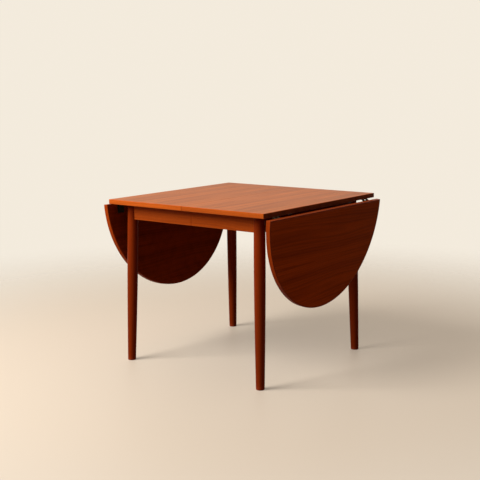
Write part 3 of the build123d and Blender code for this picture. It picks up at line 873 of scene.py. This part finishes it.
def stored(tree, geometry, name, value, kind):
    """Geometry with a value stored on its points."""
    values = {"Geometry": geometry, "Name": name, "Value": value}
    return put(tree, "GeometryNodeStoreNamedAttribute", values, data_type=kind, domain="POINT").outputs[0]


def hand_over(tree, go, geometry, material):
    """Ends a geometry tree: instances made real, and the material set."""
    whole = put(tree, "GeometryNodeRealizeInstances", {"Geometry": geometry})
    done = put(tree, "GeometryNodeSetMaterial", {"Geometry": whole.outputs[0], "Material": material})
    give(tree, go, Geometry=done.outputs[0])


def turned_leg_tree(height):
    """Geometry nodes that turn a leg on its profile and lean it outwards."""
    tree, come, go = new_group(
        "turned_leg",
        "GeometryNodeTree",
        {
            "Height": (NUMBER, height),
            "Head X": (NUMBER, 0.35),
            "Head Y": (NUMBER, 0.35),
            "Slope X": (NUMBER, 0.0),
            "Slope Y": (NUMBER, 0.0),
            "Foot Rounding": (NUMBER, 0.003),
            "Around": (WHOLE, 72),
            "Lengthways": (WHOLE, 128),
            "Material": (MATERIAL, None),
        },
        {"Geometry": GEOMETRY},
    )
    get = come.outputs
    turning = {"Vertices": get["Around"], "Side Segments": get["Lengthways"], "Fill Segments": 1}
    turning.update({"Radius": 1.0, "Depth": 1.0})
    tube = put(tree, "GeometryNodeMeshCylinder", turning, fill_type="NGON")
    parts = split(tree, put(tree, "GeometryNodeInputPosition").outputs[0])
    # Rings stand closer together towards the foot
    level = calc(tree, "POWER", calc(tree, "ADD", parts[2], 0.5), 2.0)
    up = calc(tree, "MULTIPLY", level, get["Height"])
    drop = calc(tree, "SUBTRACT", get["Height"], up)
    profile = put(tree, "ShaderNodeFloatCurve", {"Value": calc(tree, "DIVIDE", drop, get["Height"])})
    points = profile.mapping.curves[0].points
    while len(points) < LEG_GAUGES + 1:
        points.new(0.5, 0.5)
    for i, point in enumerate(points):
        point.location = (i / LEG_GAUGES, leg_radius(height * i / LEG_GAUGES) * CURVE_SCALE)
        point.handle_type = "AUTO"
    profile.mapping.update()
    radius = calc(tree, "DIVIDE", profile.outputs[0], CURVE_SCALE)
    # The foot's edge is a quarter round
    rounding = get["Foot Rounding"]
    short = calc(tree, "MAXIMUM", calc(tree, "SUBTRACT", rounding, up), 0.0)
    squares = [calc(tree, "MULTIPLY", side, side) for side in (rounding, short)]
    rest = calc(tree, "SQRT", calc(tree, "SUBTRACT", *squares))
    radius = calc(tree, "ADD", calc(tree, "SUBTRACT", radius, rounding), rest)
    x, y = (calc(tree, "MULTIPLY", part, radius) for part in parts[:2])
    middle_x = calc(tree, "MULTIPLY_ADD", drop, get["Slope X"], get["Head X"])
    middle_y = calc(tree, "MULTIPLY_ADD", drop, get["Slope Y"], get["Head Y"])
    leaning = joined(tree, calc(tree, "ADD", middle_x, x), calc(tree, "ADD", middle_y, y), up)
    marked = stored(tree, tube.outputs["Mesh"], "grain", joined(tree, x, up, y), "FLOAT_VECTOR")
    marked = stored(tree, marked, "edge", ranged(tree, up, FOOT_WEAR, 0.0), "FLOAT")
    moved = put(tree, "GeometryNodeSetPosition", {"Geometry": marked, "Position": leaning})
    hand_over(tree, go, moved.outputs[0], get["Material"])
    return tree


def grown(tree, name, base=None, **inputs):
    """The plain mesh that a geometry tree gives with these inputs."""
    seed = bpy.data.objects.new(name, base or bpy.data.meshes.new(name))
    bpy.context.scene.collection.objects.link(seed)
    nodes = seed.modifiers.new("growth", "NODES")
    nodes.node_group = tree
    sockets = {s.name: s.identifier for s in tree.interface.items_tree if s.in_out == "INPUT"}
    for label, value in inputs.items():
        nodes[sockets[label.replace("_", " ")]] = value
    graph = bpy.context.evaluated_depsgraph_get()
    ready = seed.evaluated_get(graph)
    mesh = bpy.data.meshes.new_from_object(ready, preserve_all_data_layers=True, depsgraph=graph)
    seed.modifiers.remove(nodes)
    bpy.data.objects.remove(seed)
    mesh.name = name
    return mesh


class TABLE_OT_turn_legs(bpy.types.Operator):
    """Turn the four leaning legs"""

    bl_idname = "table.turn_legs"
    bl_label = "Turn Legs"

    def execute(self, context):
        sizes = context.scene.table_sizes
        height = STRIPS_LOW.z
        tree = turned_leg_tree(height)
        for name, side in SIDES.items():
            for where, end in ENDS.items():
                leg = f"{name}_{where}"
                turned = f"{leg}_turned_leg"
                mesh = grown(
                    tree,
                    turned,
                    Height=height,
                    Head_X=side * (STRIPS_HIGH.x - sizes.leg_inset),
                    Head_Y=end * (STRIPS_HIGH.y - sizes.leg_inset),
                    Slope_X=side * math.tan(sizes.leg_lean_x),
                    Slope_Y=end * math.tan(sizes.leg_lean_y),
                    Foot_Rounding=sizes.foot_round,
                    Material=finish("oiled_teak_turned"),
                )
                settle(mesh, turned, "oiled_teak_turned", f"{name}_half", f"{leg}_leg")
        return {"FINISHED"}


# Aprons and hidden wood

LONG_EDGE = 0.02
EASE_STEPS = 4


class TABLE_OT_ease_aprons(bpy.types.Operator):
    """Round the edges of the aprons and finish them with their grain lengthways"""

    bl_idname = "table.ease_aprons"
    bl_label = "Ease Aprons"

    def execute(self, context):
        sizes = context.scene.table_sizes
        for name in SIDES:
            for where in (*ENDS, "end"):
                kind = "end" if where == "end" else "long"
                node = f"{name}_{where}_apron"
                mesh = self.eased_copy(node, sizes, long_axis=1 if kind == "end" else 0)
                settle(mesh, f"{node}_eased", f"oiled_teak_{kind}_apron", f"{name}_half", node)
        return {"FINISHED"}

    def eased_copy(self, node, sizes, long_axis):
        """A copy of a packed apron, closed up to the seam, with its lower and its seam edges rounded."""
        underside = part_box(node)[0].z
        work = packed_copy(node)
        for vert in work.verts:
            if abs(vert.co.x) < MEETING:
                vert.co.x = math.copysign(sizes.seam_gap, vert.co.x)
        join_flat_faces(work)
        bmesh.ops.bevel(
            work,
            geom=[edge for edge in work.edges if self.is_eased(edge, underside, long_axis)],
            offset=sizes.apron_ease,
            segments=EASE_STEPS,
            profile=0.5,
            affect="EDGES",
            clamp_overlap=True,
        )
        return plain_mesh(work, f"{node}_eased")

    def is_eased(self, edge, underside, long_axis):
        """Whether an edge runs lengthways along the underside, or upright at the seam."""
        a, b = (vert.co for vert in edge.verts)
        span = [abs(a[i] - b[i]) for i in range(3)]
        lower = all(abs(end.z - underside) < SAME for end in (a, b))
        lengthways = span[1 - long_axis] < SAME and span[long_axis] > LONG_EDGE
        seam = all(abs(end.x) < MEETING for end in (a, b))
        upright = span[1] < SAME and span[2] > LONG_EDGE
        return (lower and lengthways) or (seam and upright)


class TABLE_OT_coat_slides(bpy.types.Operator):
    """Finish the corner blocks, slides, guides and stops under the top"""

    bl_idname = "table.coat_slides"
    bl_label = "Coat Slides"

    def execute(self, context):
        for name in SIDES:
            for node in ("slide_rails", "loper_guides"):
                coat(f"{name}_{node}", "beech_lengthways")
            for node in ("corner_blocks", "loper_end_stops"):
                coat(f"{name}_{node}", "beech_crossways")
        coat("left_slide_stop_pins", "beech_crossways")
        coat("left_alignment_pins", "beech_lengthways")
        return {"FINISHED"}


# Fittings

# Shares of a screw's head radius, height and shank radius
SLOT_LENGTH, SLOT_WIDTH, SLOT_DEPTH = 2.4, 0.24, 0.9
POINT = 0.35
TOP_LEVEL = 0.99
FLAT_HEIGHT = 0.5
PAN_HEIGHT = 0.66
PAN_DOME = 0.25


class TABLE_OT_coat_fittings(bpy.types.Operator):
    """Finish the hinges, lopers, bolts and nuts"""

    bl_idname = "table.coat_fittings"
    bl_label = "Coat Fittings"

    def execute(self, context):
        for name in SIDES:
            for node in ("hinge_top_plates", "hinge_leaf_plates", "hinge_pins"):
                coat(f"{name}_{node}", "aged_brass")
            for node in ("leg_bolts", "leg_nuts"):
                coat(f"{name}_{node}", "dull_steel")
            for where in ENDS:
                for node in ("loper", "loper_stop"):
                    coat(f"{name}_{where}_{node}", "blackened_steel")
        return {"FINISHED"}


def islands(node):
    """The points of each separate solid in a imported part."""
    work = packed_copy(node)
    left = set(work.verts)
    groups = []
    while left:
        found = []
        border = [left.pop()]
        while border:
            vert = border.pop()
            found.append(vert.co.copy())
            for link in vert.link_edges:
                other = link.other_vert(vert)
                if other in left:
                    left.remove(other)
                    border.append(other)
        groups.append(found)
    work.free()
    return groups


def screw_seats(node, facing):
    """Where each screw of a packed group has the middle of its head, its length, and its head's radius."""
    seats = []
    for points in islands(node):
        levels = [p.dot(facing) for p in points]
        top = max(levels)
        flat = [p - facing * p.dot(facing) for p in points]
        middle = Vector([(min(p[i] for p in flat) + max(p[i] for p in flat)) / 2 for i in range(3)])
        radius = max((p - middle).length for p in flat)
        seats.append((middle + facing * top, top - min(levels), radius))
    return sorted(seats, key=lambda seat: tuple(round(c, 5) for c in seat[0]))


def slotted_head(tree, get):
    """A screw's head below the origin: a flat or domed top over a straight or tapered side, with a slot."""
    radius, height = get["Head Radius"], get["Head Height"]
    shape = {"Vertices": 32, "Side Segments": 2, "Fill Segments": 4, "Depth": height}
    shape.update({"Radius Top": radius, "Radius Bottom": get["Under Radius"]})
    head = put(tree, "GeometryNodeMeshCone", shape, fill_type="NGON").outputs["Mesh"]
    place = put(tree, "GeometryNodeInputPosition").outputs[0]
    level = vector_calc(tree, "MULTIPLY", place, (1, 1, 0))[0]
    out = calc(tree, "DIVIDE", vector_calc(tree, "LENGTH", level)["Value"], radius)
    fall = calc(tree, "MULTIPLY", calc(tree, "MULTIPLY", out, out), get["Dome"])
    outer = calc(tree, "GREATER_THAN", split(tree, place)[2], calc(tree, "MULTIPLY", height, TOP_LEVEL))
    sunk = calc(tree, "ADD", calc(tree, "MULTIPLY", fall, outer), height)
    offset = joined(tree, 0.0, 0.0, calc(tree, "MULTIPLY", sunk, -1.0))
    domed = put(tree, "GeometryNodeSetPosition", {"Geometry": head, "Offset": offset}).outputs[0]
    shares = ((radius, SLOT_LENGTH), (radius, SLOT_WIDTH), (height, SLOT_DEPTH))
    slot_size = joined(tree, *(calc(tree, "MULTIPLY", size, share) for size, share in shares))
    slot = put(tree, "GeometryNodeMeshCube", {"Size": slot_size}).outputs["Mesh"]
    solids = {"Mesh 1": domed, "Mesh 2": slot}
    cut = put(tree, "GeometryNodeMeshBoolean", solids, operation="DIFFERENCE", solver="EXACT")
    return cut.outputs["Mesh"]


def tapered_shank(tree, get):
    """A screw's shank, from under its head to a blunt point."""
    shape = {"Vertices": 20, "Side Segments": 6, "Radius Top": get["Shank Radius"]}
    shape["Radius Bottom"] = calc(tree, "MULTIPLY", get["Shank Radius"], POINT)
    shape["Depth"] = calc(tree, "SUBTRACT", get["Length"], get["Head Height"])
    shank = put(tree, "GeometryNodeMeshCone", shape, fill_type="NGON").outputs["Mesh"]
    down = joined(tree, 0.0, 0.0, calc(tree, "MULTIPLY", get["Length"], -1.0))
    return put(tree, "GeometryNodeTransform", {"Geometry": shank, "Translation": down}).outputs[0]


def screw_tree():
    """Geometry nodes that set slotted screws at points: pan heads, or flat heads that taper to the shank."""
    tree, come, go = new_group(
        "slotted_screws",
        "GeometryNodeTree",
        {
            "Seats": (GEOMETRY, None),
            "Facing": (VECTOR, (0.0, 0.0, -1.0)),
            "Head Radius": (NUMBER, 0.0045),
            "Under Radius": (NUMBER, 0.0045),
            "Head Height": (NUMBER, 0.003),
            "Dome": (NUMBER, 0.0008),
            "Shank Radius": (NUMBER, 0.00225),
            "Length": (NUMBER, 0.04),
            "Seed": (WHOLE, 1),
            "Material": (MATERIAL, None),
        },
        {"Geometry": GEOMETRY},
    )
    get = come.outputs
    head = slotted_head(tree, get)
    shank = tapered_shank(tree, get)
    screw = put(tree, "GeometryNodeJoinGeometry")
    for part in (shank, head):
        tree.links.new(part, screw.inputs[0])
    limits = {"Min": 0.0, "Max": math.pi, "Seed": get["Seed"]}
    spin = put(tree, "FunctionNodeRandomValue", limits, data_type="FLOAT")
    about = joined(tree, 0.0, 0.0, next(s for s in spin.outputs if s.enabled))
    aimed = put(tree, "FunctionNodeAlignRotationToVector", {"Vector": get["Facing"]}, axis="Z").outputs[0]
    turned = put(tree, "FunctionNodeRotateRotation", {0: aimed, 1: about}, rotation_space="LOCAL").outputs[0]
    seats = put(tree, "GeometryNodeMeshToPoints", {"Mesh": get["Seats"]}).outputs[0]
    placing = {"Points": seats, "Instance": screw.outputs[0], "Rotation": turned}
    placed = put(tree, "GeometryNodeInstanceOnPoints", placing).outputs[0]
    hand_over(tree, go, placed, get["Material"])
    return tree


class TABLE_OT_set_screws(bpy.types.Operator):
    """Set the slotted screws of blocks, rails, guides and hinges"""

    bl_idname = "table.set_screws"
    bl_label = "Set Screws"

    def execute(self, context):
        tree = screw_tree()
        for name, side in SIDES.items():
            inward = Vector((-side * math.sin(LEVEL_ANGLE), 0, -math.cos(LEVEL_ANGLE)))
            groups = (
                ("block_screws", "half", DOWN, False),
                ("rail_screws", "half", DOWN, False),
                ("guide_screws", "half", DOWN, False),
                ("hinge_top_screws", "half", DOWN, True),
                ("hinge_leaf_screws", "leaf", inward, True),
            )
            for seed, (group, body, facing, flat) in enumerate(groups, start=1):
                self.make_group(tree, f"{name}_{group}", f"{name}_{body}", facing, flat, seed)
        return {"FINISHED"}

    def make_group(self, tree, node, body, facing, flat, seed):
        """The screws of one packed group: flat brass ones in the hinges, and steel ones with pan heads."""
        seats = screw_seats(node, facing)
        points = bpy.data.meshes.new(f"{node}_seats")
        points.from_pydata([seat[0] for seat in seats], [], [])
        length, radius = seats[0][1:]
        shank = radius / 2
        metal, finish_name = ("brass", "aged_brass") if flat else ("steel", "dull_steel")
        if flat:
            radius -= bpy.context.scene.table_sizes.head_gap
        mesh = grown(
            tree,
            f"{node}_slotted",
            points,
            Facing=facing,
            Head_Radius=radius,
            Under_Radius=shank if flat else radius,
            Head_Height=radius * (FLAT_HEIGHT if flat else PAN_HEIGHT),
            Dome=0.0 if flat else radius * PAN_DOME,
            Shank_Radius=shank,
            Length=length,
            Seed=seed,
            Material=finish(finish_name),
        )
        settle(mesh, f"{node}_slotted", finish_name, body, node)


# Stage

FLOOR_FADE = (0.30, 0.97)
GLOW_TOWARDS = (-0.45, -0.20, 0.87)
GLOW_RANGE = (0.0, 0.95)
GLOW_LEVELS = (0.026, 0.66)
WINDOW_SIZE = (2.2, 3.0)
WINDOW_COLOUR = (1.0, 0.96, 0.90)
WINDOW_PLACE = Vector((-1.75, -3.05, 3.1))
WINDOW_AIM = Vector((0, 0, 0.55))
SENSOR = 36.0


def seen_rays(tree):
    """1 for rays that show the stage itself, straight or in a gloss, and 0 for its light on the table."""
    rays = put(tree, "ShaderNodeLightPath").outputs
    shown = calc(tree, "MAXIMUM", rays["Is Camera Ray"], rays["Is Glossy Ray"])
    return calc(tree, "MAXIMUM", shown, rays["Is Transmission Ray"])


class TABLE_OT_set_stage(bpy.types.Operator):
    """Lay the floor, hang the light and place the camera"""

    bl_idname = "table.set_stage"
    bl_label = "Set Stage"

    def execute(self, context):
        stage = context.scene.table_stage
        context.scene.view_settings.view_transform = "Standard"
        self.lay_floor(context.scene, stage)
        self.set_world(context.scene, stage)
        self.hang_light(context.scene, stage)
        self.place_camera(context.scene, stage)
        return {"FINISHED"}

    def lay_floor(self, scene, stage):
        """A round floor that fades into the backdrop, is clear from below, and lifts its shadows in view."""
        work = bmesh.new()
        bmesh.ops.create_circle(work, cap_ends=True, segments=96, radius=stage.floor_radius)
        mesh = bpy.data.meshes.new("floor")
        work.to_mesh(mesh)
        work.free()
        material, tree, shader = new_material("pale_floor", Roughness=0.5, Specular_IOR_Level=0.2)
        seen = seen_rays(tree)
        colour = mixed(tree, seen, rgba(stage.floor_bounce), rgba(stage.floor_colour))
        tree.links.new(colour, shader.inputs["Base Color"])
        shader.inputs["Emission Color"].default_value = rgba(stage.floor_colour)
        tree.links.new(calc(tree, "MULTIPLY", seen, stage.floor_lift), shader.inputs["Emission Strength"])
        reach = vector_calc(tree, "LENGTH", object_place(tree))["Value"]
        fade = ranged(tree, reach, *(share * stage.floor_radius for share in FLOOR_FADE))
        below = put(tree, "ShaderNodeNewGeometry").outputs["Backfacing"]
        fade = calc(tree, "MAXIMUM", fade, below)
        clear = put(tree, "ShaderNodeBsdfTransparent")
        both = put(tree, "ShaderNodeMixShader", {0: fade, 1: shader.outputs[0], 2: clear.outputs[0]})
        tree.links.new(both.outputs[0], tree.nodes["Material Output"].inputs["Surface"])
        mesh.materials.append(material)
        floor = bpy.data.objects.new("floor", mesh)
        scene.collection.objects.link(floor)

    def set_world(self, scene, stage):
        """A soft glow from the upper left as light, and a plain pale backdrop in view."""
        world = bpy.data.worlds.new("pale_room")
        world.use_nodes = True
        scene.world = world
        tree = world.node_tree
        tree.nodes.clear()
        way = put(tree, "ShaderNodeTexCoord").outputs["Generated"]
        towards = vector_calc(tree, "DOT_PRODUCT", way, GLOW_TOWARDS)["Value"]
        glow = ranged(tree, towards, *GLOW_RANGE, *GLOW_LEVELS)
        room = put(tree, "ShaderNodeBackground", {"Color": rgba(stage.room_glow), "Strength": glow})
        seen = put(tree, "ShaderNodeBackground", {"Color": rgba(stage.backdrop_colour), "Strength": 1.0})
        both = put(tree, "ShaderNodeMixShader", {0: seen_rays(tree), 1: room.outputs[0], 2: seen.outputs[0]})
        put(tree, "ShaderNodeOutputWorld", {"Surface": both.outputs[0]})

    def hang_light(self, scene, stage):
        """A large soft window light from the front left."""
        light = bpy.data.lights.new("window_light", "AREA")
        light.shape = "RECTANGLE"
        light.size, light.size_y = WINDOW_SIZE
        light.energy = stage.key_power
        light.color = WINDOW_COLOUR
        lamp = bpy.data.objects.new("window_light", light)
        lamp.location = WINDOW_PLACE
        lamp.rotation_euler = (WINDOW_AIM - WINDOW_PLACE).to_track_quat("-Z", "Y").to_euler()
        scene.collection.objects.link(lamp)

    def place_camera(self, scene, stage):
        """The camera from its yaw, its pitch and its roll."""
        yaw, pitch, roll = stage.camera_yaw, stage.camera_pitch, stage.camera_roll
        level = math.cos(pitch)
        forward = Vector((math.sin(yaw) * level, math.cos(yaw) * level, -math.sin(pitch)))
        right = Vector((math.cos(yaw), -math.sin(yaw), 0))
        up = right.cross(forward)
        tilted = right * math.cos(roll) + up * math.sin(roll)
        upright = up * math.cos(roll) - right * math.sin(roll)
        camera = bpy.data.objects.new("camera", bpy.data.cameras.new("camera"))
        camera.data.sensor_width = SENSOR
        camera.data.lens = stage.camera_lens
        turn = Matrix((tilted, upright, -forward)).transposed().to_4x4()
        camera.matrix_world = Matrix.Translation(Vector(stage.camera_place)) @ turn
        scene.collection.objects.link(camera)
        scene.camera = camera


# Panel and registration


class TABLE_PT_dressing(bpy.types.Panel):
    """The table's pieces, sizes and finishes"""

    bl_label = "Drop Leaf Table"
    bl_idname = "TABLE_PT_dressing"
    bl_space_type = "VIEW_3D"
    bl_region_type = "UI"
    bl_category = "Table"

    def draw(self, context):
        for group in GROUPS:
            values = getattr(context.scene, group)
            box = self.layout.box()
            for key in values.bl_rna.properties.keys():
                if key not in {"rna_type", "name"}:
                    box.prop(values, key)
        for operator in OPERATORS:
            self.layout.operator(operator.bl_idname)


OPERATORS = (
    TABLE_OT_set_stage,
    TABLE_OT_dress_tops,
    TABLE_OT_dress_leaves,
    TABLE_OT_turn_legs,
    TABLE_OT_ease_aprons,
    TABLE_OT_coat_slides,
    TABLE_OT_coat_fittings,
    TABLE_OT_set_screws,
)
GROUPS = {"table_sizes": TableSizes, "table_finishes": TableFinishes, "table_stage": TableStage}
CLASSES = (*GROUPS.values(), *OPERATORS, TABLE_PT_dressing)


def register():
    """Adds the classes, and their settings to every scene."""
    for cls in CLASSES:
        bpy.utils.register_class(cls)
    for name, cls in GROUPS.items():
        setattr(bpy.types.Scene, name, PointerProperty(type=cls))


def unregister():
    """Takes the settings and the classes away again."""
    for name in GROUPS:
        delattr(bpy.types.Scene, name)
    for cls in reversed(CLASSES):
        bpy.utils.unregister_class(cls)


def main():
    """Dresses the table."""
    register()
    for operator in OPERATORS:
        getattr(bpy.ops.table, operator.bl_idname.split(".")[1])()


if __name__ == "__main__":
    main()
